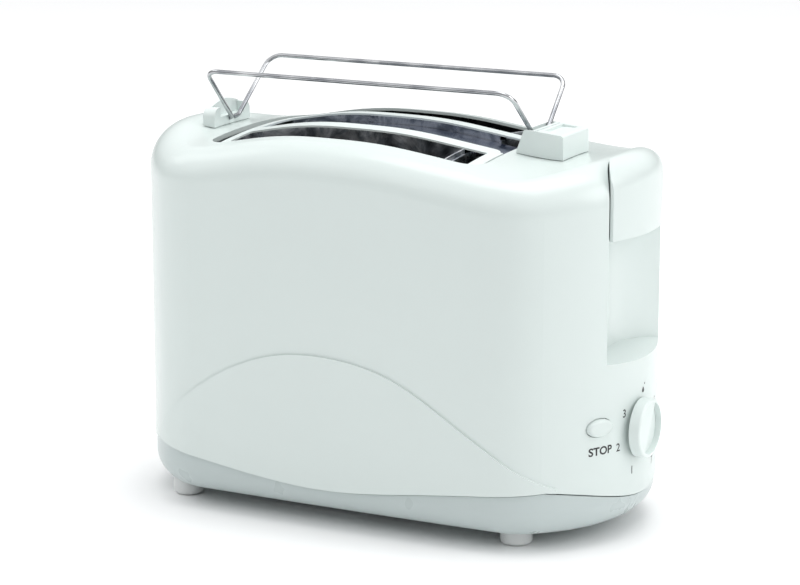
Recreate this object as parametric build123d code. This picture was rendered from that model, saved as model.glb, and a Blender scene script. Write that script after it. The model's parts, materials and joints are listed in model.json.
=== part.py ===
from build123d import *
import os

# Two-slot pop-up toaster with a bun-warming rack, in millimetres.
# X runs along the toaster, with the lever and the controls at +X.  Y runs from the front long
# side (-Y) to the back one.  Z is up from the surface that the feet stand on.
# While modelling, X = 0 is midway between the feet; save() moves every piece so that X = 0 is
# the middle of the whole toaster, knob included.

os.makedirs("parts", exist_ok=True)

# ---------------------------------------------------------------- driving dimensions
LEFT_END_X = -135.0
RIGHT_END_X = 149.5
END_R = 85.0
HALF_WIDTH = 75.0
CORNER_R = 40.0
SIDE_BULGE = 1.2
WALL = 2.6
TOP_EDGE_R = 18.0
BASE_BOTTOM_Z = 8.0
BASE_EDGE_R = 14.0
SEAM_GAP = 0.7
KNOB_FRONT_X = 156.0
GLAND_LIP = 1.2
MIDDLE_X = (LEFT_END_X - GLAND_LIP + KNOB_FRONT_X) / 2

# height of the wavy top at stations along X, and its fall away from the middle plane: CROWN * y * y
TOP_WAVE = [(-160, 204), (-136, 203.5), (-122, 202.3), (-108, 199.5), (-97, 197.7), (-85, 198.3),
            (-71, 200.2), (-60, 202.3), (-46, 204.8), (-25, 206.8), (-8, 207), (14, 206.6), (33, 205),
            (55, 202), (73, 199.4), (81, 198.2), (95, 196.6), (108, 196), (122, 197.3), (142, 200.3),
            (165, 202.5)]
CROWN = 0.0011
# the joint between housing and base dips in the middle of every side
SEAM_ALONG_X = [(-142, 36), (-91, 31), (-40, 24), (6, 21.5), (52, 26), (102, 31.5), (155, 35)]
SEAM_ALONG_Y = [(-90, 36), (-45, 29.5), (0, 22), (45, 29.5), (90, 36)]
# crest line of the low raised field on the long sides
FIELD_CREST = [(-119, 18), (-105, 41), (-90, 57.5), (-60, 79), (-28, 91), (2, 93), (38, 86),
               (76, 65), (105, 47), (113, 42), (121, 37.5), (128, 34), (135, 31), (155, 28)]
FIELD_PROUD = 1.0

# opening in the top, and the frame with the two bread slots that lies in it
OPENING_X = (-84.0, 78.0)
OPENING_HALF_Y = 52.0
OPENING_R = 12.0
SLOT_INNER_Y = 26.5
SLOT_OUTER_Y = 51.6
SLOT_MID_Y = (SLOT_INNER_Y + SLOT_OUTER_Y) / 2
WELL_HALF_Y = 16.5
FRAME_X = (-75.0, 75.0)
FRAME_BAR = 5.5
FRAME_DROP = 0.4
FRAME_THICK = 1.0
WELL_DROP = 5.0
SHIELD_DROP = 10.4
PLATE_DROP = 3.4

# sheet-metal chassis
CHASSIS_LEFT_X = -72.4
CHASSIS_RIGHT_X = 57.4
SHEET = 1.2
THIN_SHEET = 0.8
CHASSIS_HALF_Y = 60.0
CHASSIS_BOTTOM_Z = 14.0
GUIDE_BOTTOM_Z = 178.0

# heaters and bread guards
CARD_X = (-68.0, 54.0)
CARD_Z = (42.0, 174.0)
CARD_THICK = 0.8
OUTER_CARD_Y = 56.5
INNER_CARD_Y = 21.5
RIBBON_ROWS = 10
RIBBON_WIDTH = 1.6
RIBBON_THICK = 0.25
GUARD_X = (-66.0, 53.0)
GUARD_Z = (30.0, 172.0)
GUARD_INNER_Y = 29.0
GUARD_OUTER_Y = 49.6
GUARD_WIRE = 1.6
GUARD_WIRES = 8
GUARD_TRAVEL = 4.0

# carriage, lever and the channel that the lever runs in
LEVER_TRAVEL = 60.0
CARRIER_TOP_Z = 96.0
CARRIER_HEIGHT = 9.0
CARRIER_HALF_Y = 4.0
CARRIER_TABS = 9
ROD_X = 68.0
ROD_Y = -12.0
ROD_R = 3.0
SLEEVE_R = 5.0
SLEEVE_Z = (100.0, 150.0)
ROD_Z = (16.0, 186.0)
BRACKET_X = 60.0
ARM_Y = -22.0
ARM_THICK = 3.4
ARM_Z = (172.0, 186.0)
CHANNEL_DEPTH = 18.0
CHANNEL_R = 61.0
CHANNEL_CENTRE_X = RIGHT_END_X - CHANNEL_DEPTH + CHANNEL_R
LEDGE_Z = 94.5
LEDGE_SLOPE = 0.25
PADDLE_HALF_Y = 33.0
PADDLE_BOTTOM_Z = 160.0
PADDLE_GAP = 0.8

# rack
RACK_WIRE_R = 1.2
RACK_PIVOT_Y = 2.6
RACK_PIVOT_Z = 201.2
RACK_RAIL_Y = 35.1
RACK_RAIL_Z = 231.4
RACK_LEFT_X = -95.6
RACK_RIGHT_X = 88.4
RACK_RAIL_X = (-92.6, 86.9)
RACK_BEND_R = 8.0
BLOCK_GAP = 0.4

# controls
KNOB_BACK_X = 149.9
KNOB_Y = -7.0
KNOB_Z = 58.0
KNOB_R = 15.5
BUTTON_X = 140.3
BUTTON_Y = -38.5
BUTTON_Z = 64.0
BUTTON_TURN = -26.9
BUTTON_SIZE = (16.4, 9.4)
BOARD_X = 118.0

# fixings
FOOT_X = 99.0
FOOT_Y = 48.6
FOOT_R = 8.4
BOSSES = [(-92, -30), (-92, 30), (100, -34), (100, 34)]
BOSS_R = 4.5
SCREW_R = 1.7
SCREW_HEAD_R = 3.6
DOOR_X = (-65.0, 49.4)
DOOR_HALF_Y = 45.0
DOOR_GAP = 0.7
HINGE_Z = 9.8
GLAND_Z = 42.0


# ---------------------------------------------------------------- helpers
def save(name, shape):
    export_step(Pos(-MIDDLE_X, 0, 0) * shape, f"parts/{name}.step")


def block(x, y, z):
    """A box from its lowest and highest X, Y and Z."""
    size = Box(x[1] - x[0], y[1] - y[0], z[1] - z[0])
    return Pos((x[0] + x[1]) / 2, (y[0] + y[1]) / 2, (z[0] + z[1]) / 2) * size


def post(x, y, r, z):
    """An upright cylinder."""
    return Pos(x, y, (z[0] + z[1]) / 2) * Cylinder(r, z[1] - z[0])


def rod_x(y, z, r, x):
    """A cylinder along X."""
    return Pos((x[0] + x[1]) / 2, y, z) * Rot(0, 90, 0) * Cylinder(r, x[1] - x[0])


def rod_y(x, z, r, y):
    """A cylinder along Y."""
    return Pos(x, (y[0] + y[1]) / 2, z) * Rot(90, 0, 0) * Cylinder(r, y[1] - y[0])


def mirrored(y, side):
    """A Y range on the front (side -1) or back (side 1)."""
    return (min(y[0] * side, y[1] * side), max(y[0] * side, y[1] * side))


def plan(inset=0.0):
    """The toaster's outline from above, moved in by inset; its ends are strongly bowed."""
    left, right, half = LEFT_END_X + inset, RIGHT_END_X - inset, HALF_WIDTH - inset
    bow, y = END_R - inset, half - SIDE_BULGE
    sag = bow - (bow**2 - y**2) ** 0.5
    corners = [(left + sag, -y), (right - sag, -y), (right - sag, y), (left + sag, y)]
    crowns = [((left + right) / 2, -half), (right, 0), ((left + right) / 2, half), (left, 0)]
    sides = [ThreePointArc(corners[i], crowns[i], corners[(i + 1) % 4]) for i in range(4)]
    face = make_face(sides)
    return fillet(face.vertices(), CORNER_R - inset)


def prism(inset, z):
    return Pos(0, 0, z[0]) * extrude(plan(inset), z[1] - z[0])


def below_curve(points, floor, plane, reach):
    """Everything under a curve drawn on an upright plane."""
    top = Spline(points)
    rest = Polyline(points[-1], (points[-1][0], floor), (points[0][0], floor), points[0])
    return extrude(plane.offset(-reach) * make_face([top, rest]), 2 * reach)


def under_wave(drop=0.0):
    """Everything under the wavy top, which is crowned across the toaster."""
    sections = []
    for y in (-100, -50, 0, 50, 100):
        points = [(x, z - drop - CROWN * y * y) for x, z in TOP_WAVE]
        rest = Polyline(points[-1], (points[-1][0], -10), (points[0][0], -10), points[0])
        sections.append(Plane.XZ.offset(-y) * make_face([Spline(points), rest]))
    return loft(sections)


def below_seam(lift=0.0):
    along = below_curve([(x, z + lift) for x, z in SEAM_ALONG_X], -40, Plane.XZ, 100)
    across = below_curve([(y, z + lift) for y, z in SEAM_ALONG_Y], -40, Plane.YZ, 200)
    return along & across


def body_blank(inset=0.0):
    """The closed outer form with its wavy, rounded top."""
    solid = prism(inset, (0, 240)) & under_wave(inset)
    rim = solid.faces().sort_by(Axis.Z)[-1].edges()
    return fillet(rim, TOP_EDGE_R - inset)


def wave_layer(shape, drop, thick):
    """The part of a shape that lies in a sheet following the top at some depth below it."""
    return (shape & under_wave(drop)) - under_wave(drop + thick)


def channel_space(clearance=0.0):
    """The upright hollow round which the lever paddle slides."""
    bore = post(CHANNEL_CENTRE_X, 0, CHANNEL_R - clearance, (40, 240))
    rise = 40 * LEDGE_SLOPE
    profile = Polyline((RIGHT_END_X - 40, LEDGE_Z + rise), (RIGHT_END_X + 40, LEDGE_Z - rise),
                       (RIGHT_END_X + 40, 240), (RIGHT_END_X - 40, 240), close=True)
    return bore & extrude(Plane.XZ.offset(-50) * make_face(profile), 100)


def opening_prism(clearance=0.0):
    """The opening in the top that shows the bread slots."""
    length, width = OPENING_X[1] - OPENING_X[0] - 2 * clearance, 2 * (OPENING_HALF_Y - clearance)
    outline = RectangleRounded(length, width, OPENING_R - clearance)
    return Pos(sum(OPENING_X) / 2, 0, 150) * extrude(outline, 100)


# ---------------------------------------------------------------- housing
def housing():
    outer = body_blank()
    cavity = body_blank(WALL)
    cavity -= Pos(0, 0, -WALL) * channel_space(-WALL)
    for x, y in BOSSES:
        cavity -= post(x, y, BOSS_R, (11, 198))
    shell = outer - cavity
    band = prism(-FIELD_PROUD, (10, 110)) - prism(WALL / 2, (10, 110))
    band &= below_curve(FIELD_CREST, 0, Plane.XZ, 100)
    band -= block((126, RIGHT_END_X + 5), (-80, 80), (0, 120))
    shell += band
    shell -= below_seam()
    shell -= channel_space()
    shell -= opening_prism()
    shell -= block((120, 155), (ARM_Y - 3, ARM_Y + 3), (ARM_Z[0] - LEVER_TRAVEL - 2.5, ARM_Z[1] + 2.5))
    shell -= rod_x(KNOB_Y, KNOB_Z, 4.2, (130, 155))
    shell -= button_prism(0.35, (-14, 5))
    shell -= rod_x(0, GLAND_Z, 5.2, (LEFT_END_X - 5, LEFT_END_X + 10))
    for x, y in BOSSES:
        shell -= post(x, y, SCREW_R, (5, 27))
    return shell


def base_blank():
    solid = prism(SEAM_GAP, (BASE_BOTTOM_Z, 60))
    return fillet(solid.faces().sort_by(Axis.Z)[0].edges(), BASE_EDGE_R)


def base_shell():
    cavity = prism(SEAM_GAP + WALL, (BASE_BOTTOM_Z + WALL, 80))
    cavity = fillet(cavity.faces().sort_by(Axis.Z)[0].edges(), BASE_EDGE_R - WALL)
    shell = (base_blank() & below_seam(-SEAM_GAP)) - cavity
    # the tongue stands inside the housing wall all round
    tongue = prism(WALL + 0.4, (16, 36)) - prism(WALL + 2.2, (16, 36))
    shell += tongue
    shell -= block((DOOR_X[0] - 3.0, DOOR_X[1] + DOOR_GAP),
                   (-DOOR_HALF_Y - DOOR_GAP, DOOR_HALF_Y + DOOR_GAP), (0, 30))
    for side in (-1, 1):
        lug = block((DOOR_X[0] - 4, DOOR_X[0] + 4), mirrored((46.2, 54), side), (9, 14))
        shell += lug
    shell -= rod_y(DOOR_X[0], HINGE_Z, 1.1, (-52, 52))
    for x, y in BOSSES:
        shell -= post(x, y, SCREW_HEAD_R + 0.3, (0, 9.4))
        shell -= post(x, y, SCREW_R + 0.2, (0, 20))
    for x in (-FOOT_X, FOOT_X):
        for y in (-FOOT_Y, FOOT_Y):
            shell -= post(x, y, 3.0, (0, 20))
    return shell


def foot(x, y):
    pad = post(x, y, FOOT_R, (0, 16))
    pad = fillet(pad.edges().sort_by(Axis.Z)[0], 2.0)
    stem = post(x, y, 2.9, (7, 14))
    return (pad - base_blank()) + stem


# ---------------------------------------------------------------- slot frame and sheet metal
def slot_frame():
    reach = (185, 215)
    shape = block((FRAME_X[0], FRAME_X[0] + FRAME_BAR), (-SLOT_OUTER_Y, SLOT_OUTER_Y), reach)
    radius = (SLOT_INNER_Y - WELL_HALF_Y) / 2
    for side in (-1, 1):
        middle = side * (SLOT_INNER_Y + WELL_HALF_Y) / 2
        strip_y = mirrored((WELL_HALF_Y, SLOT_INNER_Y), side)
        shape += block((FRAME_X[0], FRAME_X[1] - radius), strip_y, reach)
        shape += post(FRAME_X[1] - radius, middle, radius, reach)
        flap_y = mirrored((SLOT_INNER_Y - 6, SLOT_OUTER_Y), side)
        shape += block((FRAME_X[1] - 4.5, FRAME_X[1] + 1.5), flap_y, reach)
    upright = shape.edges().filter_by(Axis.Z)
    inner = upright.filter_by(lambda e: e.center().X < -60 and abs(e.center().Y) < 45)
    shape = fillet(inner, 2.5)
    return wave_layer(shape & opening_prism(0.4), FRAME_DROP, FRAME_THICK)


def centre_channel():
    """The glossy floor of the well between the two slots."""
    floor = block((-69, CHASSIS_RIGHT_X - 0.3), (-WELL_HALF_Y + 0.1, WELL_HALF_Y - 0.1), (180, 210))
    floor += block((0, 77), (-WELL_HALF_Y + 1.5, WELL_HALF_Y - 1.5), (180, 210))
    return wave_layer(floor, WELL_DROP, THIN_SHEET)


def well_wall(side):
    """Upright sheet along one side of the centre well."""
    wall_y = mirrored((WELL_HALF_Y + 0.3, WELL_HALF_Y + 0.3 + THIN_SHEET), side)
    wall = block((-69, CHASSIS_RIGHT_X - 0.3), wall_y, (184, 212))
    return wall & under_wave(FRAME_DROP + FRAME_THICK + 0.05)


def end_shield(x):
    """Dark sheet that closes the view into the body past the ends of the slots."""
    return wave_layer(block(x, (-56, 56), (170, 215)), SHIELD_DROP, THIN_SHEET)


def slot_guide(side):
    outside = block((-70.2, 57.0), mirrored((25.4, 51.6), side), (GUIDE_BOTTOM_Z, 215))
    hollow = block((-69.4, 56.2), mirrored((26.2, 50.8), side), (GUIDE_BOTTOM_Z - 5, 220))
    return (outside - hollow) & under_wave(FRAME_DROP + FRAME_THICK + 0.05)


def chassis_end(x):
    plate = block((x, x + SHEET), (-CHASSIS_HALF_Y, CHASSIS_HALF_Y), (CHASSIS_BOTTOM_Z, 215))
    plate &= under_wave(PLATE_DROP)
    for side in (-1, 1):
        run = mirrored((SLOT_MID_Y - 2.2, SLOT_MID_Y + 2.2), side)
        low = CARRIER_TOP_Z - CARRIER_HEIGHT - LEVER_TRAVEL - 2
        plate -= block((x - 5, x + 5), run, (low, CARRIER_TOP_Z + 2))
        for y, step in ((GUARD_INNER_Y, GUARD_TRAVEL), (GUARD_OUTER_Y, -GUARD_TRAVEL)):
            slot_y = sorted((y - 1.4 * (1 if step > 0 else -1), y + step + 1.4 * (1 if step > 0 else -1)))
            for z in GUARD_Z:
                plate -= block((x - 5, x + 5), mirrored(slot_y, side), (z - 1.4, z + 1.4))
    return plate


def chassis_end_right():
    plate = chassis_end(CHASSIS_RIGHT_X)
    plate -= block((50, 65), (-WELL_HALF_Y + 1.2, WELL_HALF_Y - 1.2), (184, 220))
    for z in (ROD_Z[0] + 2, ROD_Z[1] - 4):
        tab = block((CHASSIS_RIGHT_X + SHEET, ROD_X + 6), (ROD_Y - 6, ROD_Y + 6), (z, z + 1.6))
        plate += tab
    return plate - post(ROD_X, ROD_Y, ROD_R, (0, 220))


def reflector(side):
    y = mirrored((CHASSIS_HALF_Y - 1, CHASSIS_HALF_Y - 1 + THIN_SHEET), side)
    sheet = block((CHASSIS_LEFT_X + SHEET, CHASSIS_RIGHT_X), y, (26, 186))
    for z in (26, 186 - THIN_SHEET):
        sheet += block((CHASSIS_LEFT_X + SHEET, CHASSIS_RIGHT_X),
                       mirrored((CHASSIS_HALF_Y - 5, CHASSIS_HALF_Y - 0.5), side), (z, z + THIN_SHEET))
    return sheet


# ---------------------------------------------------------------- heaters and guards
def heater_card(y):
    card = block(CARD_X, (y - CARD_THICK / 2, y + CARD_THICK / 2), CARD_Z)
    for row in range(3):
        z = CARD_Z[0] + 20 + 44 * row
        card -= block((-20, 6), (y - 1, y + 1), (z, z + 3))
    return card


def heater_ribbon(y, toward):
    """Flat resistance ribbon, wound to and fro on the bread's side of its card."""
    near = y + toward * CARD_THICK / 2
    across = sorted((near, near + toward * RIBBON_THICK))
    first, last = CARD_Z[0] + 6, CARD_Z[1] - 6
    pitch = (last - first) / (RIBBON_ROWS - 1)
    left, right = CARD_X[0] + 4, CARD_X[1] - 4
    ribbon = None
    for row in range(RIBBON_ROWS):
        z = first + row * pitch
        run = block((left, right), across, (z - RIBBON_WIDTH / 2, z + RIBBON_WIDTH / 2))
        ribbon = run if ribbon is None else ribbon + run
        if row < RIBBON_ROWS - 1:
            x = right if row % 2 == 0 else left + RIBBON_WIDTH
            ribbon += block((x - RIBBON_WIDTH, x), across, (z, z + pitch))
    return ribbon


def bread_guard(y):
    guard = None
    for z in GUARD_Z:
        rail = rod_x(y, z, GUARD_WIRE / 2 + 0.2, (CHASSIS_LEFT_X - 2, CHASSIS_RIGHT_X + 2.2))
        guard = rail if guard is None else guard + rail
    step = (GUARD_X[1] - GUARD_X[0]) / (GUARD_WIRES - 1)
    for i in range(GUARD_WIRES):
        guard += post(GUARD_X[0] + i * step, y, GUARD_WIRE / 2, GUARD_Z)
    return guard


# ---------------------------------------------------------------- carriage and lever
def bread_carrier(side):
    y = side * SLOT_MID_Y
    z = (CARRIER_TOP_Z - CARRIER_HEIGHT, CARRIER_TOP_Z)
    carrier = block((CHASSIS_LEFT_X - 3, BRACKET_X), (y - 0.7, y + 0.7), z)
    step = (GUARD_X[1] - GUARD_X[0] - 12) / (CARRIER_TABS - 1)
    for i in range(CARRIER_TABS):
        x = GUARD_X[0] + 4 + i * step
        reach = (y, y + CARRIER_HALF_Y) if i % 2 else (y - CARRIER_HALF_Y, y)
        carrier += block((x, x + 5), reach, (CARRIER_TOP_Z - 1.2, CARRIER_TOP_Z))
    return carrier


def carriage_bracket():
    x = (BRACKET_X, BRACKET_X + 1.6)
    half = SLOT_MID_Y + 4
    bracket = block(x, (-half, half), (CARRIER_TOP_Z - CARRIER_HEIGHT - 3, CARRIER_TOP_Z + 4))
    bracket += block(x, (ROD_Y - 8, ROD_Y + 8), (CARRIER_TOP_Z - CARRIER_HEIGHT - 3, SLEEVE_Z[1]))
    bracket += block(x, (ARM_Y - 4, ROD_Y - 6.6), (CARRIER_TOP_Z - CARRIER_HEIGHT - 3, ARM_Z[1]))
    bracket += block((x[1], ROD_X), (ROD_Y - 3, ROD_Y + 3), SLEEVE_Z)
    bracket += post(ROD_X, ROD_Y, SLEEVE_R, SLEEVE_Z)
    return bracket - post(ROD_X, ROD_Y, ROD_R + 0.3, (0, 220))


def lever_arm():
    arm = block((BRACKET_X + 1.6, 141), (ARM_Y - ARM_THICK / 2, ARM_Y + ARM_THICK / 2), ARM_Z)
    return arm


def lever_paddle():
    shape = prism(-0.9, (PADDLE_BOTTOM_Z, 240)) & under_wave(-1.2)
    rim = shape.faces().sort_by(Axis.Z)[-1].edges()
    shape = fillet(rim, 13.0)
    shape &= channel_space(PADDLE_GAP)
    shape &= block((120, 155), (-PADDLE_HALF_Y, PADDLE_HALF_Y), (PADDLE_BOTTOM_Z, 230))
    return shape - lever_arm()


def armature():
    plate = block((ROD_X + SLEEVE_R - 1, 94), (ROD_Y - 8, ROD_Y + 8), (104.3, 107.3))
    return plate - post(ROD_X, ROD_Y, SLEEVE_R, SLEEVE_Z)


def return_spring():
    low, high = SLEEVE_Z[1], ROD_Z[1] - 4
    wire, turns = 0.45, 9
    path = Helix((high - low - 2 * wire) / turns, high - low - 2 * wire, ROD_R + 1.1)
    section = Plane(origin=path @ 0, z_dir=path % 0) * Circle(wire)
    return Pos(ROD_X, ROD_Y, low + wire) * sweep(section, path=path, is_frenet=True)


# ---------------------------------------------------------------- electrical pieces
def magnet_core():
    core = block((76, 92), (ROD_Y - 8, ROD_Y + 8), (18, 24))
    core += block((76, 80), (ROD_Y - 8, ROD_Y + 8), (18, 43.6))
    core += block((88, 92), (ROD_Y - 8, ROD_Y + 8), (18, 43.6))
    core += block((74, 94), (ROD_Y - 10, ROD_Y + 10), (BASE_BOTTOM_Z + WALL, 18))
    return core


def magnet_coil():
    coil = block((73.5, 82.5), (ROD_Y - 10.5, ROD_Y + 10.5), (24.3, 40))
    return coil - block((76, 80), (ROD_Y - 8, ROD_Y + 8), (20, 45))


def circuit_board():
    board = block((BOARD_X, BOARD_X + 1.6), (-48, 34), (30, 84))
    for y, z in ((-44, 34), (30, 34), (-44, 80), (30, 80)):
        board -= rod_x(y, z, 1.6, (BOARD_X - 2, BOARD_X + 4))
    return board


def board_holder():
    holder = block((BOARD_X - 4, BOARD_X + 5.6), (-37, 26), (BASE_BOTTOM_Z + WALL, 34))
    return holder - block((BOARD_X, BOARD_X + 1.6), (-50, 40), (30, 40))


def board_components():
    x = BOARD_X - 0.05
    parts = [rod_x(-16, 70, 5, (x - 12, x)), rod_x(22, 72, 4, (x - 10, x)),
             block((x - 4, x), (-6, 14), (56, 64)), block((x - 12, x), (-42, -26), (40, 54)),
             block((x - 3, x), (-8, 4), (40, 47))]
    return Compound(children=parts)


def dial_sensor():
    body = rod_x(KNOB_Y, KNOB_Z, 8.5, (BOARD_X + 1.6, BOARD_X + 9.6))
    return body - rod_x(KNOB_Y, KNOB_Z, 3.3, (BOARD_X + 4, BOARD_X + 12))


def stop_switch():
    return on_button_axis(block((-19.5, -14.4), (-5, 5), (-5, 5)))


def mains_switch():
    switch = block((72, 94), (4, 28), (BASE_BOTTOM_Z + WALL, 34))
    for y in (8, 16, 24):
        switch += block((76, 90), (y - 1, y + 1), (34, 41))
    return switch


def cord_gland():
    ring = rod_x(0, GLAND_Z, 7.5, (LEFT_END_X - GLAND_LIP, LEFT_END_X - 0.05))
    ring += rod_x(0, GLAND_Z, 5.1, (LEFT_END_X - GLAND_LIP, LEFT_END_X + 7))
    return ring - rod_x(0, GLAND_Z, 3.4, (LEFT_END_X - 5, LEFT_END_X + 12))


def cord_clamp():
    clamp = block((-104, -96), (-14, 14), (BASE_BOTTOM_Z + WALL, 48))
    return clamp - rod_x(0, GLAND_Z, 3.4, (-110, -90))


# ---------------------------------------------------------------- controls
def on_button_axis(shape):
    """Turn a shape modelled along X so that it points squarely out of the bowed end."""
    return Pos(BUTTON_X, BUTTON_Y, BUTTON_Z) * Rot(0, 0, BUTTON_TURN) * shape


def button_prism(grow, x):
    oval = Ellipse(BUTTON_SIZE[0] / 2 + grow, BUTTON_SIZE[1] / 2 + grow)
    return on_button_axis(Pos(x[0], 0, 0) * extrude(Plane.YZ * oval, x[1] - x[0]))


def stop_button():
    cap = button_prism(0, (-6.5, 2.4))
    front = cap.faces().sort_by(Axis.X)[-1]
    cap = fillet(front.edges(), 2.0)
    flange = button_prism(1.6, (-8.2, -6.5))
    stem = on_button_axis(rod_x(0, 0, 2.5, (-11.4, -8.2)))
    return cap + flange + stem


def browning_knob():
    back, floor, front = KNOB_BACK_X, KNOB_BACK_X + 3.0, KNOB_FRONT_X
    knob = rod_x(KNOB_Y, KNOB_Z, KNOB_R, (back, front))
    knob = fillet(knob.edges().sort_by(Axis.X)[-1], 1.2)
    knob -= rod_x(KNOB_Y, KNOB_Z, KNOB_R - 1.9, (floor, front + 5))
    # the grip is one long wedge: it slopes up to a ridge line across the dial
    y0, y1 = KNOB_Y - KNOB_R, KNOB_Y - 1.0
    wedge = Polyline((floor - 1, y0), (floor + 0.4, y0), (front - 0.3, y1 - 1), (front - 0.3, y1),
                     (floor - 1, y1), close=True)
    grip = Pos(0, 0, KNOB_Z - KNOB_R) * extrude(make_face(wedge), 2 * KNOB_R)
    grip &= rod_x(KNOB_Y, KNOB_Z, KNOB_R - 1.5, (floor - 1, front))
    knob += grip
    return Pos(0, KNOB_Y, KNOB_Z) * Rot(-27, 0, 0) * Pos(0, -KNOB_Y, -KNOB_Z) * knob


def knob_shaft():
    return rod_x(KNOB_Y, KNOB_Z, 3.0, (BOARD_X + 4.3, KNOB_BACK_X))


# ---------------------------------------------------------------- crumb door
def crumb_door():
    door = block((DOOR_X[0] + 2.6, DOOR_X[1]), (-DOOR_HALF_Y, DOOR_HALF_Y), (8.2, 9.4))
    door += rod_y(DOOR_X[0], HINGE_Z, 2.3, (-DOOR_HALF_Y, DOOR_HALF_Y))
    door += block((DOOR_X[0], DOOR_X[0] + 3), (-DOOR_HALF_Y, DOOR_HALF_Y), (8.2, 9.4))
    for x in range(-50, 50, 20):
        door += block((x, x + 1.2), (-40, 40), (9.4, 11.4))
    latch = block((DOOR_X[1] - 8, DOOR_X[1] + 5), (-9, 9), (6.2, 7.6))
    latch += block((DOOR_X[1] - 8, DOOR_X[1] - 3), (-9, 9), (7, 9))
    door += latch
    return door - rod_y(DOOR_X[0], HINGE_Z, 1.25, (-60, 60))


# ---------------------------------------------------------------- rack
def rack_loop(side):
    y0, y1 = side * RACK_PIVOT_Y, side * RACK_RAIL_Y
    points = [(RACK_LEFT_X - 7, y0, RACK_PIVOT_Z), (RACK_LEFT_X, y0, RACK_PIVOT_Z),
              (RACK_RAIL_X[0], y1, RACK_RAIL_Z), (RACK_RAIL_X[1], y1, RACK_RAIL_Z),
              (RACK_RIGHT_X, y0, RACK_PIVOT_Z), (RACK_RIGHT_X + 8, y0, RACK_PIVOT_Z)]
    path = FilletPolyline(*points, radius=[2.4, RACK_BEND_R, RACK_BEND_R, 2.4])
    section = Plane(origin=path @ 0, z_dir=path % 0) * Circle(RACK_WIRE_R)
    return sweep(section, path=path)


def on_top(shape, plinth):
    """Stand a block on the wavy top with a fine shadow gap round its foot."""
    foot_part = plinth - under_wave(0)
    return (shape - under_wave(-BLOCK_GAP)) + (foot_part & under_wave(-BLOCK_GAP - 0.5))


def pin_holes(x):
    return [rod_x(side * RACK_PIVOT_Y, RACK_PIVOT_Z, RACK_WIRE_R + 0.15, x) for side in (-1, 1)]


def rack_block_left():
    body = block((-104.5, -97.2), (-19, 19), (190, 208))
    body = fillet(body.edges().filter_by(Axis.X).sort_by(Axis.Z)[-2:], 5)
    # the back wall rises in a flat arch behind the recess
    body += rod_x(0, 211 - 38.6, 38.6, (-104.5, -101.6)) & block((-105, -101), (-17, 17), (200, 212))
    body -= block((-101.6, -96), (-12.5, 12.5), (202.8, 220))
    body = on_top(body, block((-103.5, -98), (-17, 17), (190, 205)))
    for hole in pin_holes((-103.2, -90)):
        body -= hole
    return body


def rack_block_right():
    profile = Polyline((80.6, 190), (81.3, 197), (86.2, 210.6), (108.2, 208.6), (108.6, 190), close=True)
    body = extrude(Plane.XZ.offset(-16.4) * make_face(profile), 32.8)
    body = fillet(body.edges().filter_by(Axis.Y).sort_by(Axis.Z)[-2:], 1.6)
    body -= block((95, 103.5), (-10, 13), (208.4, 220))
    body -= block((92.2, 92.9), (-20, 20), (209.3, 220))
    # the legs rest on the edges of a notch, and fold inwards through it
    notch = Polyline((-27.4, 222), (-3.72, 199.99), (3.72, 199.99), (27.4, 222), close=True)
    body -= Pos(RACK_RIGHT_X - 1.9, 0, 0) * extrude(Plane.YZ * make_face(notch), 4.0)
    body = on_top(body, block((82.5, 107), (-14.5, 14.5), (190, 205)))
    for hole in pin_holes((80, 98)):
        body -= hole
    return body


# ---------------------------------------------------------------- fixings
def base_screws():
    parts = []
    for x, y in BOSSES:
        parts.append(post(x, y, SCREW_HEAD_R, (7.0, 9.35)) + post(x, y, SCREW_R, (9.35, 26)))
    return Compound(children=parts)


# ---------------------------------------------------------------- write every piece
save("housing", housing())
save("base_shell", base_shell())
for x_name, foot_x in (("left", -FOOT_X), ("right", FOOT_X)):
    for y_name, foot_y in (("front", -FOOT_Y), ("rear", FOOT_Y)):
        save(f"foot_{y_name}_{x_name}", foot(foot_x, foot_y))
save("slot_frame", slot_frame())
save("centre_channel", centre_channel())
save("end_shield_left", end_shield((-87.2, CHASSIS_LEFT_X - 0.2)))
save("end_shield_right", end_shield((CHASSIS_RIGHT_X + SHEET + 0.3, 82)))
save("chassis_end_left", chassis_end(CHASSIS_LEFT_X))
save("chassis_end_right", chassis_end_right())
for name, side in (("front", -1), ("rear", 1)):
    save(f"slot_guide_{name}", slot_guide(side))
    save(f"well_wall_{name}", well_wall(side))
    save(f"reflector_{name}", reflector(side))
    save(f"heater_card_{name}_outer", heater_card(side * OUTER_CARD_Y))
    save(f"heater_card_{name}_inner", heater_card(side * INNER_CARD_Y))
    save(f"heater_ribbon_{name}_outer", heater_ribbon(side * OUTER_CARD_Y, -side))
    save(f"heater_ribbon_{name}_inner", heater_ribbon(side * INNER_CARD_Y, side))
    save(f"bread_guard_{name}_outer", bread_guard(side * GUARD_OUTER_Y))
    save(f"bread_guard_{name}_inner", bread_guard(side * GUARD_INNER_Y))
    save(f"bread_carrier_{name}", bread_carrier(side))
    save(f"rack_loop_{name}", rack_loop(side))
save("rack_block_left", rack_block_left())
save("rack_block_right", rack_block_right())
save("guide_rod", post(ROD_X, ROD_Y, ROD_R, ROD_Z))
save("carriage_bracket", carriage_bracket())
save("lever_arm", lever_arm())
save("lever_paddle", lever_paddle())
save("armature", armature())
save("return_spring", return_spring())
save("magnet_core", magnet_core())
save("magnet_coil", magnet_coil())
save("circuit_board", circuit_board())
save("board_holder", board_holder())
save("board_components", board_components())
save("dial_sensor", dial_sensor())
save("stop_switch", stop_switch())
save("mains_switch", mains_switch())
save("cord_gland", cord_gland())
save("cord_clamp", cord_clamp())
save("stop_button", stop_button())
save("browning_knob", browning_knob())
save("knob_shaft", knob_shaft())
save("crumb_door", crumb_door())
save("hinge_pin", rod_y(DOOR_X[0], HINGE_Z, 1.1, (-52, 52)))
save("base_screws", base_screws())
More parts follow.
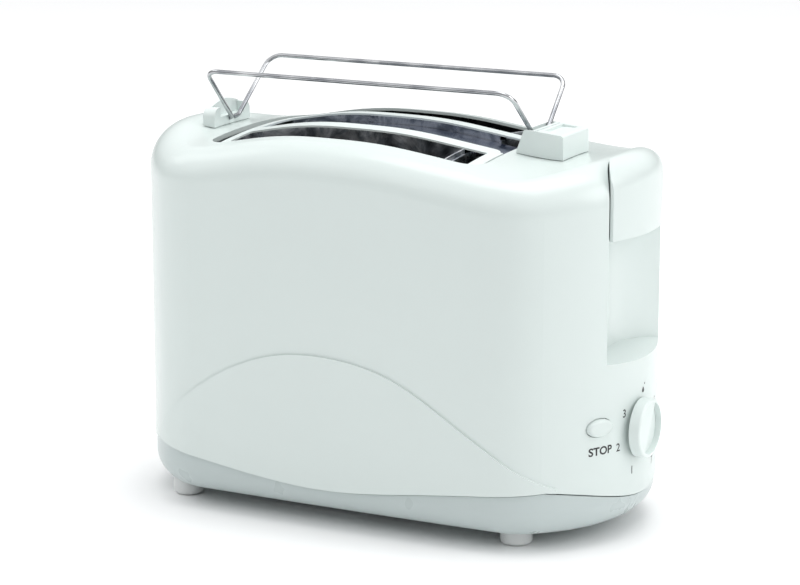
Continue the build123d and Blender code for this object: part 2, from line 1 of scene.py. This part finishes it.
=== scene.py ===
import json
import math

import bmesh
import bpy
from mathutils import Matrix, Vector


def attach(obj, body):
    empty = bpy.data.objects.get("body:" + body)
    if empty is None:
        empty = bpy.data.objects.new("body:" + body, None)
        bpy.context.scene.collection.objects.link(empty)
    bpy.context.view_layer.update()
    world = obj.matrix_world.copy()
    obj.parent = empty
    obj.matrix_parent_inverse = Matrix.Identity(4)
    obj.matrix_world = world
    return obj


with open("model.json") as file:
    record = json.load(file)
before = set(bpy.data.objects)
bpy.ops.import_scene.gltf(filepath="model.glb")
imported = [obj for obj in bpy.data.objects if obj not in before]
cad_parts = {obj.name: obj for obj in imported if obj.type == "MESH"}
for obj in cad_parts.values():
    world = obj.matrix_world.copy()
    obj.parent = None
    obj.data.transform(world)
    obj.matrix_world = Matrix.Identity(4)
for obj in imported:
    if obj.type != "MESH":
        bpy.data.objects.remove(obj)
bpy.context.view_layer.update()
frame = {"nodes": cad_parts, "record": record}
nodes = frame["nodes"]
scene = bpy.context.scene
scene.view_settings.view_transform = "Standard"

MM = 0.001
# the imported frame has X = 0 at the middle of the whole toaster; the feet's middle lies here
FEET_MIDDLE_X = -9.9


def at(x, y, z):
    """A point given in millimetres from the middle of the feet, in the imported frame."""
    return Vector(((x + FEET_MIDDLE_X) * MM, y * MM, z * MM))


# ---------------------------------------------------------------- camera
AZIMUTH, ELEVATION, DISTANCE = math.radians(27.25), math.radians(12.81), 1530.15 * MM
target = at(6.17, 0, 113.07)
away = Vector((math.sin(AZIMUTH) * math.cos(ELEVATION), -math.cos(AZIMUTH) * math.cos(ELEVATION),
               math.sin(ELEVATION)))
camera = bpy.data.objects.new("camera", bpy.data.cameras.new("camera"))
camera.data.lens = 127.76
camera.data.sensor_width = 36
camera.data.clip_end = 60
camera.location = target + away * DISTANCE
camera.rotation_euler = (-away).to_track_quat("-Z", "Y").to_euler()
scene.collection.objects.link(camera)
scene.camera = camera


# ---------------------------------------------------------------- material tools
class Shader:
    """A small helper that adds nodes to one material and wires them up."""

    def __init__(self, name, colour, roughness, metallic=0.0, **sockets):
        self.material = bpy.data.materials.new(name)
        self.material.use_nodes = True
        self.tree = self.material.node_tree
        self.bsdf = self.tree.nodes["Principled BSDF"]
        self.bsdf.inputs["Base Color"].default_value = (*colour, 1)
        self.bsdf.inputs["Roughness"].default_value = roughness
        self.bsdf.inputs["Metallic"].default_value = metallic
        for socket, value in sockets.items():
            self.bsdf.inputs[socket.replace("_", " ")].default_value = value
        self.material.diffuse_color = (*colour, 1)
        self.place = self.add("ShaderNodeTexCoord").outputs["Object"]

    def add(self, kind, **values):
        node = self.tree.nodes.new(kind)
        for key, value in values.items():
            if key in node.inputs:
                node.inputs[key].default_value = value
            else:
                setattr(node, key, value)
        return node

    def link(self, a, b):
        self.tree.links.new(a, b)

    def noise(self, scale, detail=3.0, rough=0.5, stretch=None, distortion=0.0):
        node = self.add("ShaderNodeTexNoise", Scale=scale, Detail=detail, Roughness=rough,
                        Distortion=distortion)
        source = self.place
        if stretch:
            mapping = self.add("ShaderNodeMapping", Scale=stretch)
            self.link(source, mapping.inputs["Vector"])
            source = mapping.outputs["Vector"]
        self.link(source, node.inputs["Vector"])
        return node.outputs["Fac"]

    def ramp(self, fac, stops):
        """A colour ramp; each stop is a position and a grey value or a colour."""
        node = self.add("ShaderNodeValToRGB")
        elements = node.color_ramp.elements
        while len(elements) < len(stops):
            elements.new(0.5)
        for element, (position, value) in zip(elements, stops):
            element.position = position
            rgb = value if isinstance(value, tuple) else (value, value, value)
            element.color = (*rgb, 1)
        self.link(fac, node.inputs["Fac"])
        return node.outputs["Color"]

    def colour(self, fac, stops):
        self.link(self.ramp(fac, stops), self.bsdf.inputs["Base Color"])

    def roughness(self, fac, low, high):
        self.link(self.ramp(fac, [(0.3, low), (0.7, high)]), self.bsdf.inputs["Roughness"])

    def bump(self, fac, distance, strength=1.0):
        node = self.add("ShaderNodeBump", Strength=strength, Distance=distance)
        self.link(fac, node.inputs["Height"])
        self.link(node.outputs["Normal"], self.bsdf.inputs["Normal"])


def moulded_plastic(name, colour, roughness, peel=0.00002):
    """Injection-moulded plastic: faint clouding, uneven gloss and a very fine orange peel."""
    s = Shader(name, colour, roughness)
    low = tuple(c * 0.992 for c in colour)
    high = tuple(min(1.0, c * 1.006) for c in colour)
    s.colour(s.noise(9, 2), [(0.3, low), (0.7, high)])
    s.roughness(s.noise(40, 3), roughness - 0.01, roughness + 0.02)
    s.bump(s.noise(1400, 2), peel)
    return s.material


def polished_wire(name):
    """Chromed wire with uneven gloss; its colour is darkened in patches as painted reflection of dark
    surroundings.
    """
    s = Shader(name, (0.48, 0.49, 0.50), 0.07, 1.0)
    # painted reflection: the dark and light patches in the colour stand in for the dark lines the chrome
    # should mirror
    s.colour(s.noise(60, 3), [(0.3, (0.20, 0.21, 0.23)), (0.7, (0.56, 0.57, 0.58))])
    s.roughness(s.noise(240, 4), 0.04, 0.14)
    s.bump(s.noise(2200, 2), 0.000006)
    return s.material


def mottled_steel(name, dark, mid, light, metallic=1.0, rough=(0.22, 0.45)):
    """Thin plated sheet that heat has clouded in uneven patches."""
    s = Shader(name, mid, 0.3, metallic)
    clouds = s.noise(55, 6, 0.62, distortion=1.2)
    s.colour(clouds, [(0.30, dark), (0.44, mid), (0.56, light), (0.70, mid)])
    s.roughness(s.noise(120, 5), *rough)
    s.bump(s.noise(420, 5), 0.00008)
    return s.material


# the outer walls of the slot guides lie beyond this distance from the middle plane
OUTER_WALL_Y = 50.0
STEEL_DARK, STEEL_MID, STEEL_LIGHT = (0.06, 0.07, 0.09), (0.30, 0.33, 0.37), (0.72, 0.74, 0.77)


def guide_steel(name):
    """Clouded sheet, painted almost black on the outer wall of each slot as painted shade under the rim.
    """
    s = Shader(name, STEEL_MID, 0.3, 1.0)
    clouds = s.ramp(s.noise(55, 6, 0.62, distortion=1.2),
                    [(0.30, STEEL_DARK), (0.44, STEEL_MID), (0.56, STEEL_LIGHT), (0.70, STEEL_MID)])
    split = s.add("ShaderNodeSeparateXYZ")
    s.link(s.place, split.inputs["Vector"])
    across = s.add("ShaderNodeMath", operation="ABSOLUTE")
    s.link(split.outputs["Y"], across.inputs[0])
    # painted shade: beyond OUTER_WALL_Y the sheet's colour drops almost to black
    outer_wall_shade = s.ramp(across.outputs[0], [(OUTER_WALL_Y * MM, 1.0), (OUTER_WALL_Y * MM + 0.0004, 0.035)])
    painted_shade_colour = s.add("ShaderNodeVectorMath", operation="MULTIPLY")
    s.link(clouds, painted_shade_colour.inputs[0])
    s.link(outer_wall_shade, painted_shade_colour.inputs[1])
    s.link(painted_shade_colour.outputs[0], s.bsdf.inputs["Base Color"])
    s.roughness(s.noise(120, 5), 0.25, 0.5)
    s.bump(s.noise(420, 5), 0.00008)
    return s.material


def brushed(name, low, high, stretch, rough=(0.2, 0.4)):
    """Metal with fine lines drawn out along one direction."""
    s = Shader(name, low, 0.3, 1.0)
    lines = s.noise(900, 4, 0.6, stretch=stretch)
    s.colour(lines, [(0.3, low), (0.7, high)])
    s.roughness(s.noise(90, 4), *rough)
    s.bump(lines, 0.00002)
    return s.material


def mica_sheet(name):
    """Flaky, mottled brown mica board."""
    s = Shader(name, (0.55, 0.48, 0.34), 0.45)
    flakes = s.add("ShaderNodeTexVoronoi", Scale=130, feature="F1")
    s.link(s.place, flakes.inputs["Vector"])
    s.colour(s.noise(70, 6, 0.65, distortion=0.8),
             [(0.3, (0.36, 0.29, 0.18)), (0.5, (0.58, 0.50, 0.36)), (0.72, (0.72, 0.66, 0.52))])
    s.roughness(flakes.outputs["Distance"], 0.28, 0.6)
    s.bump(flakes.outputs["Distance"], 0.00006)
    return s.material


def circuit_green(name):
    """Lacquered board with tracks showing through."""
    s = Shader(name, (0.03, 0.16, 0.08), 0.35)
    tracks = s.add("ShaderNodeTexBrick", Scale=260, Color1=(0.03, 0.20, 0.09, 1),
                   Color2=(0.02, 0.13, 0.06, 1), Mortar=(0.05, 0.27, 0.13, 1))
    s.link(s.place, tracks.inputs["Vector"])
    s.link(tracks.outputs["Color"], s.bsdf.inputs["Base Color"])
    s.roughness(s.noise(150, 3), 0.28, 0.45)
    s.bump(tracks.outputs["Fac"], 0.00004)
    return s.material


def wound_copper(name):
    """Enamelled wire wound in close turns."""
    s = Shader(name, (0.60, 0.26, 0.12), 0.3, 1.0)
    turns = s.add("ShaderNodeTexWave", Scale=620, Distortion=0.4, bands_direction="Z")
    s.link(s.place, turns.inputs["Vector"])
    s.colour(turns.outputs["Fac"], [(0.2, (0.26, 0.09, 0.04)), (0.7, (0.70, 0.32, 0.16))])
    s.roughness(s.noise(200, 3), 0.25, 0.4)
    s.bump(turns.outputs["Fac"], 0.0002)
    return s.material


def printed_ink(name):
    """Black print, very slightly uneven."""
    s = Shader(name, (0.012, 0.012, 0.014), 0.45)
    s.colour(s.noise(2500, 3), [(0.3, (0.008, 0.008, 0.010)), (0.7, (0.030, 0.030, 0.032))])
    s.roughness(s.noise(900, 2), 0.38, 0.55)
    s.bump(s.noise(3000, 2), 0.000004)
    return s.material


# ---------------------------------------------------------------- materials by slot
WHITE = (0.655, 0.725, 0.705)
body_white = moulded_plastic("body_white", WHITE, 0.24)
# painted shade: the base is the same plastic as the body, darkened to stand in for the shade it sits in
base_white = moulded_plastic("base_white", (0.50, 0.565, 0.56), 0.28)
trim_white = moulded_plastic("trim_white", (0.73, 0.80, 0.78), 0.30)
foot_white = moulded_plastic("foot_white", (0.70, 0.72, 0.715), 0.5, 0.00006)
black_plastic = moulded_plastic("black_plastic", (0.022, 0.022, 0.025), 0.45, 0.00008)
grey_rubber = moulded_plastic("grey_rubber", (0.50, 0.51, 0.51), 0.65, 0.0001)
chrome_wire = polished_wire("chrome_wire")
# painted shade: a near-black sheet standing in for the deep shadow beside the chassis end plate
dark_sheet = moulded_plastic("dark_sheet", (0.016, 0.016, 0.018), 0.5, 0.00006)
guide_sheet = guide_steel("guide_sheet")
sheet_steel = mottled_steel("sheet_steel", STEEL_DARK, STEEL_MID, STEEL_LIGHT)
plain_steel = brushed("plain_steel", (0.42, 0.43, 0.45), (0.62, 0.63, 0.65), (0.05, 1, 1))
# blued steel, darkened almost to black as painted shade of the recessed centre well
well_blue = mottled_steel("well_blue", (0.012, 0.02, 0.05), (0.03, 0.05, 0.11), (0.10, 0.13, 0.20),
                          0.8, (0.10, 0.25))
iron = brushed("iron", (0.16, 0.16, 0.17), (0.28, 0.28, 0.29), (1, 1, 0.05), (0.35, 0.55))
ribbon = brushed("ribbon", (0.20, 0.17, 0.16), (0.38, 0.34, 0.32), (0.08, 1, 1), (0.3, 0.5))
mica = mica_sheet("mica")
board_green = circuit_green("board_green")
copper = wound_copper("copper")
ink = printed_ink("ink")


def dress(obj, material):
    obj.data.materials.clear()
    obj.data.materials.append(material)


by_slot = {"body_white": body_white, "base_white": base_white, "trim_white": trim_white,
           "foot_white": foot_white, "chrome_wire": chrome_wire, "sheet_steel": sheet_steel,
           "well_blue": well_blue, "dark_sheet": dark_sheet, "mica": mica, "ribbon": ribbon,
           "black_plastic": black_plastic, "board_green": board_green, "copper": copper,
           "iron": iron, "grey_rubber": grey_rubber}
for part in frame["record"]["subparts"]:
    dress(nodes[part["node"]], by_slot[part["material_slot"]])
for name in ("crumb_door", "lever_arm", "carriage_bracket"):
    dress(nodes[name], plain_steel)
for name in ("slot_guide_front", "slot_guide_rear"):
    dress(nodes[name], guide_sheet)


# ---------------------------------------------------------------- print on the control end
INK_PROUD = 0.06 * MM
PAST_THE_END_X = 0.3


def finish_print(obj):
    """Bend a flat outline drawn on the plane X = 0 on to the housing's bowed end, and ink it."""
    housing = nodes["housing"]
    for vertex in obj.data.vertices:
        start = Vector((PAST_THE_END_X, vertex.co.y, vertex.co.z))
        hit, point, _, _ = housing.ray_cast(start, Vector((-1, 0, 0)))
        if hit:
            vertex.co.x = point.x + INK_PROUD
    dress(obj, ink)
    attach(obj, "toaster")


FONT_SIZE_PER_CAP_HEIGHT = 1.38


def lettering(name, text, y, z, height, span=None, weight=0.0):
    """Text on the +X end, centred on a point in millimetres and, if asked, fitted to a span."""
    curve = bpy.data.curves.new(name, "FONT")
    curve.body = text
    curve.align_x, curve.align_y = "CENTER", "CENTER"
    curve.size = height * MM * FONT_SIZE_PER_CAP_HEIGHT
    curve.offset = weight * MM
    curve.resolution_u = 6
    flat = bpy.data.objects.new(name + "_outline", curve)
    scene.collection.objects.link(flat)
    bpy.context.view_layer.update()
    mesh = bpy.data.meshes.new_from_object(flat)
    bpy.data.objects.remove(flat)
    obj = bpy.data.objects.new(name, mesh)
    scene.collection.objects.link(obj)
    across = [vertex.co.x for vertex in mesh.vertices]
    width = span * MM / (max(across) - min(across)) if span else 1.0
    place = at(0, y, z)
    for vertex in mesh.vertices:
        vertex.co = Vector((0, place.y + vertex.co.x * width, place.z + vertex.co.y))
    finish_print(obj)


def drop_symbol(name, y, z, width, height):
    """A filled drop with its point up."""
    mesh = bpy.data.meshes.new(name)
    obj = bpy.data.objects.new(name, mesh)
    scene.collection.objects.link(obj)
    work = bmesh.new()
    middle = at(0, y, z)
    ring = []
    for i in range(32):
        t = math.tau * i / 32
        side = 0.5 * width * MM * math.sin(t) * math.sin(t / 2) ** 1.5
        ring.append(work.verts.new((0, middle.y + side, middle.z + 0.5 * height * MM * math.cos(t))))
    work.faces.new(ring)
    work.to_mesh(mesh)
    work.free()
    finish_print(obj)


# each mark of the dial stands at an angle and a distance from the middle of its scale
SCALE_Y, SCALE_Z = -3.0, 53.5
for text, angle, radius in (("1", 238, 20.3), ("2", 186.5, 22.9), ("3", 141.5, 23.3), ("5", 34, 23.4),
                            ("6", -8, 23.5), ("7", -50, 24.0)):
    turn = math.radians(angle)
    lettering("dial_" + text, text, SCALE_Y + radius * math.cos(turn), SCALE_Z + radius * math.sin(turn),
              4.4, weight=0.06)
drop_symbol("dial_drop", SCALE_Y - 0.1, SCALE_Z + 23.8, 3.6, 3.4)
drop_symbol("dial_dot", SCALE_Y + 1.7, SCALE_Z + 26.8, 1.5, 1.3)
lettering("stop_print", "STOP", -37.4, 51.4, 4.3, 14.0, 0.16)


# ---------------------------------------------------------------- floor and light
def stage_floor():
    """A wide pale disc just below the feet."""
    mesh = bpy.data.meshes.new("floor")
    work = bmesh.new()
    bmesh.ops.create_circle(work, cap_ends=True, radius=7.0, segments=96)
    work.to_mesh(mesh)
    work.free()
    floor = bpy.data.objects.new("floor", mesh)
    floor.location = (0, 0, -0.0003)
    scene.collection.objects.link(floor)
    s = Shader("floor", (0.93, 0.935, 0.935), 0.7)
    s.colour(s.noise(3, 3), [(0.3, (0.925, 0.93, 0.93)), (0.7, (0.94, 0.945, 0.945))])
    dress(floor, s.material)


def softbox(name, location, aim, size, power):
    """A rectangular lamp; place and size in metres, power in watts."""
    light = bpy.data.lights.new(name, "AREA")
    light.shape = "RECTANGLE"
    light.size, light.size_y = size
    light.energy = power
    obj = bpy.data.objects.new(name, light)
    obj.location = location
    obj.rotation_euler = (Vector(aim) - Vector(location)).to_track_quat("-Z", "Y").to_euler()
    scene.collection.objects.link(obj)


def studio_world():
    """Pale sky that brightens upwards, with a dark band at the horizon for the chrome to mirror."""
    world = bpy.data.worlds.new("studio")
    scene.world = world
    world.use_nodes = True
    tree = world.node_tree
    background = tree.nodes["Background"]
    place = tree.nodes.new("ShaderNodeTexCoord")
    split = tree.nodes.new("ShaderNodeSeparateXYZ")
    ramp = tree.nodes.new("ShaderNodeValToRGB")
    shift = tree.nodes.new("ShaderNodeMath")
    shift.operation = "MULTIPLY_ADD"
    shift.inputs[1].default_value = 0.5
    shift.inputs[2].default_value = 0.5
    stops = [(0.0, 0.9), (0.49, 0.8), (0.505, 0.12), (0.57, 0.12), (0.66, 0.85), (0.8, 1.1), (1.0, 1.3)]
    elements = ramp.color_ramp.elements
    while len(elements) < len(stops):
        elements.new(0.5)
    for element, (position, value) in zip(elements, stops):
        element.position = position
        element.color = (value, value, value * 1.01, 1)
    tree.links.new(place.outputs["Generated"], split.inputs["Vector"])
    tree.links.new(split.outputs["Z"], shift.inputs[0])
    tree.links.new(shift.outputs["Value"], ramp.inputs["Fac"])
    tree.links.new(ramp.outputs["Color"], background.inputs["Color"])
    background.inputs["Strength"].default_value = 0.85


stage_floor()
studio_world()
softbox("key", (-1.2, -1.6, 1.9), (0, 0, 0.1), (1.6, 1.2), 4)
softbox("end_light", (2.0, 0.35, 1.0), (0, 0, 0.1), (1.0, 1.4), 13)
softbox("shoulder_light", (-1.8, -0.1, 1.7), (-0.1, 0, 0.2), (1.0, 1.0), 5)
softbox("top_light", (0.1, 0.3, 2.2), (0, 0, 0.1), (1.6, 1.4), 20)
